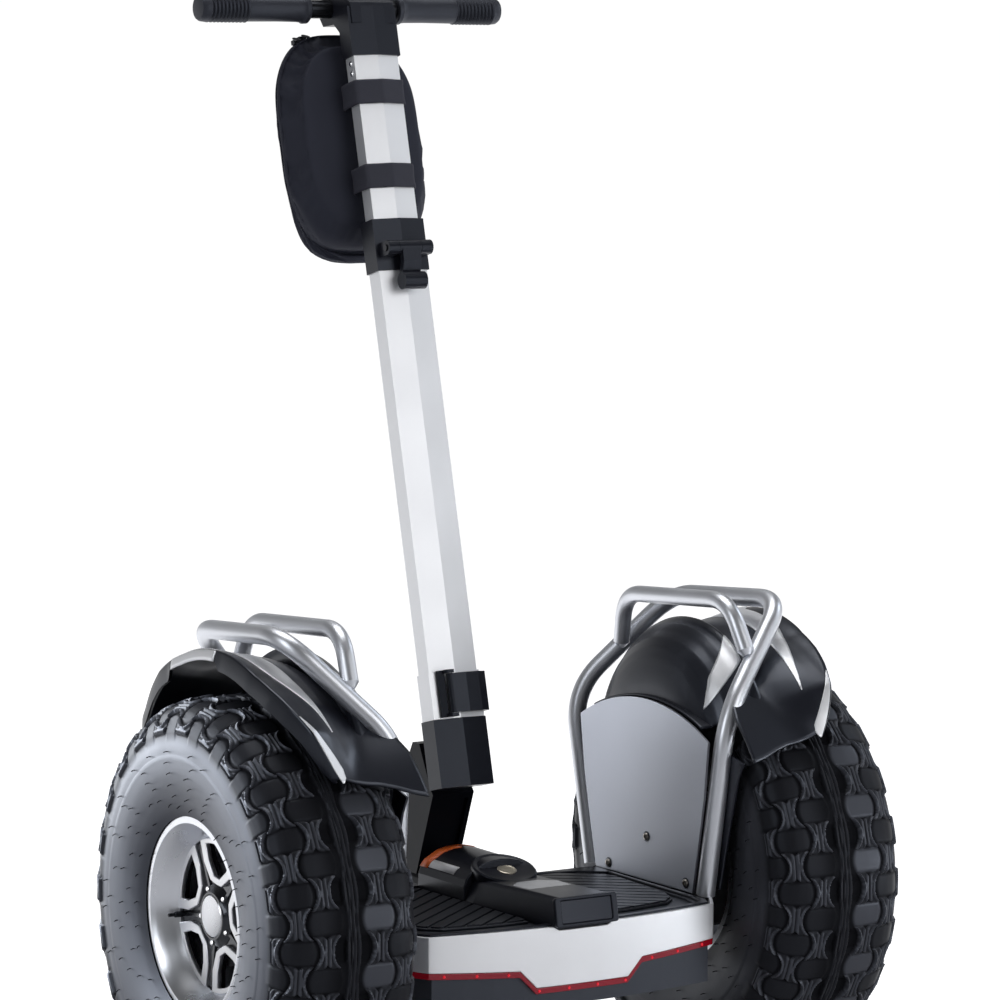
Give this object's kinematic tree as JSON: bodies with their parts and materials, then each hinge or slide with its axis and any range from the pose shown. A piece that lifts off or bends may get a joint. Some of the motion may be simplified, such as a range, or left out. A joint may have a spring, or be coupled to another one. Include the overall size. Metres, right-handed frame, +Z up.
{
  "type": "self-balancing transporter",
  "caption": "Two-wheeled self-balancing transporter with off-road tyres, a standing deck, grab hoops and a leaning telescopic steering column.",
  "frame": {"origin": "bottom centre of the bounding box: on the ground in the middle plane, 87 mm ahead of the wheel axle", "axes": "+X to the rider's right, +Y forward, +Z up"},
  "size_m": [0.823, 0.656, 1.3148],
  "materials": {
    "tyre_rubber": "matte",
    "cast_alloy": "machined and polished",
    "turned_alloy": "turned",
    "machined_steel": "machined",
    "motor_casting": "black anodised",
    "case_grey": "satin",
    "satin_aluminium": "satin anodised",
    "red_lens": "gloss",
    "mat_rubber": "ribbed matte",
    "matte_black_plastic": "matte",
    "lamp_lens": "gloss",
    "battery_casing": "matte",
    "circuit_board": "matte",
    "bush_rubber": "matte",
    "panel_grey": "satin",
    "frame_steel": "satin",
    "satin_rail": "satin",
    "gloss_black_shell": "gloss",
    "black_casting": "gloss",
    "bar_steel": "satin",
    "grip_rubber": "matte",
    "bag_fabric": "woven",
    "strap_webbing": "woven"
  },
  "bodies": {
    "chassis": {"chassis_case": "case_grey", "rear_panel": "satin_aluminium", "rear_light_strip": "red_lens", "front_panel": "satin_aluminium", "deck_plate": "satin_aluminium", "right_foot_mat": "mat_rubber", "left_foot_mat": "mat_rubber", "pivot_housing": "matte_black_plastic", "tail_lamp": "lamp_lens", "battery_pack": "battery_casing", "control_board": "circuit_board", "front_bearing": "machined_steel", "rear_bearing": "machined_steel", "centring_bush": "bush_rubber", "stand_pin": "machined_steel", "right_side_panel": "panel_grey", "left_side_panel": "panel_grey", "right_side_frame": "frame_steel", "left_side_frame": "frame_steel", "right_guard_hoop": "satin_rail", "left_guard_hoop": "satin_rail", "right_grab_hoop": "satin_rail", "left_grab_hoop": "satin_rail", "right_fender": "gloss_black_shell", "left_fender": "gloss_black_shell", "right_inner_cover": "matte_black_plastic", "left_inner_cover": "matte_black_plastic", "right_hub_motor": "motor_casting", "left_hub_motor": "motor_casting"},
    "right_wheel": {"right_tyre": "tyre_rubber", "right_wheel_rim": "cast_alloy", "right_centre_cap": "turned_alloy", "right_hub": "machined_steel", "right_drive_shaft": "machined_steel"},
    "left_wheel": {"left_tyre": "tyre_rubber", "left_wheel_rim": "cast_alloy", "left_centre_cap": "turned_alloy", "left_hub": "machined_steel", "left_drive_shaft": "machined_steel"},
    "column": {"pivot_shaft": "machined_steel", "column_bracket": "black_casting", "column_socket": "black_casting", "lower_tube": "satin_aluminium", "latch_plate": "matte_black_plastic", "latch_pin": "machined_steel", "clamp_collar": "black_casting", "clamp_pin": "machined_steel"},
    "latch_lever": {"latch_lever": "black_casting"},
    "clamp_lever": {"clamp_lever": "black_casting"},
    "mast": {"upper_tube": "satin_aluminium", "top_cap": "black_casting", "handlebar": "bar_steel", "right_grip": "grip_rubber", "left_grip": "grip_rubber", "display_console": "matte_black_plastic", "bag": "bag_fabric", "lower_strap": "strap_webbing", "upper_strap": "strap_webbing"},
    "power_button": {"power_button": "grip_rubber"},
    "parking_stand": {"parking_stand": "frame_steel"}
  },
  "joints": [
    {"name": "right_wheel_spin", "type": "hinge", "parent": "chassis", "child": "right_wheel", "pos_m": [0.3225, -0.08704, 0.241], "axis": [1, 0, 0], "continuous": true},
    {"name": "left_wheel_spin", "type": "hinge", "parent": "chassis", "child": "left_wheel", "pos_m": [-0.3225, -0.08704, 0.241], "axis": [1, 0, 0], "continuous": true},
    {"name": "column_lean", "type": "hinge", "parent": "chassis", "child": "column", "pos_m": [0, 0.06296, 0.218], "axis": [0, 1, 0], "range_deg": [-12, 12], "stiffness_Nm_per_rad": 150},
    {"name": "column_latch", "type": "hinge", "parent": "column", "child": "latch_lever", "pos_m": [-0.013, -0.00213, 0.45343], "axis": [0, 0.2385, 0.9711], "range_deg": [-110, 0]},
    {"name": "height_clamp", "type": "hinge", "parent": "column", "child": "clamp_lever", "pos_m": [0, 0.12066, 0.968], "axis": [1, 0, 0], "range_deg": [-100, 0]},
    {"name": "mast_height", "type": "slide", "parent": "column", "child": "mast", "axis": [0, 0.2385, 0.9711], "range_m": [-0.035, 0.12]},
    {"name": "power_button_press", "type": "slide", "parent": "mast", "child": "power_button", "axis": [0, -0.2385, -0.9711], "range_m": [0, 0.0015], "stiffness_N_per_m": 300},
    {"name": "stand_fold", "type": "hinge", "parent": "chassis", "child": "parking_stand", "pos_m": [0, -0.00304, 0.124], "axis": [1, 0, 0], "range_deg": [-108, 0]}
  ]
}
